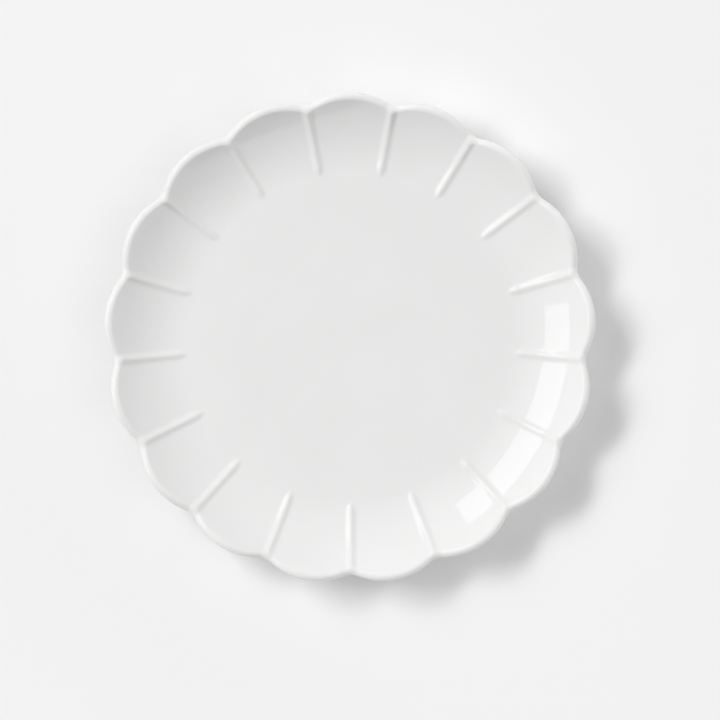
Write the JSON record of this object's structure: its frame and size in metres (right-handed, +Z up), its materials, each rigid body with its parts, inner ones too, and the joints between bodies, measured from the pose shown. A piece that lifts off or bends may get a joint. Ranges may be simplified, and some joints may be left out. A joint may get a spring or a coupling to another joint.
{
  "type": "scalloped salad plate",
  "caption": "Round white glazed stoneware salad plate: flat well, curved wall with a scalloped petal edge, a soft raised rib between petals, and a foot ring to stand on.",
  "frame": {"origin": "on the plate's axis, at the level of the table that the foot ring stands on", "axes": "+Z up along the plate's axis, out of the well; one notch of the edge faces -Y and one petal faces +Y"},
  "size_m": [0.2192, 0.2187, 0.0223],
  "materials": {
    "stoneware": "matte",
    "white_glaze": "gloss"
  },
  "bodies": {
    "root": {"stoneware_body": "stoneware", "glaze_coat": "white_glaze", "foot_recess_glaze": "white_glaze"}
  },
  "joints": []
}
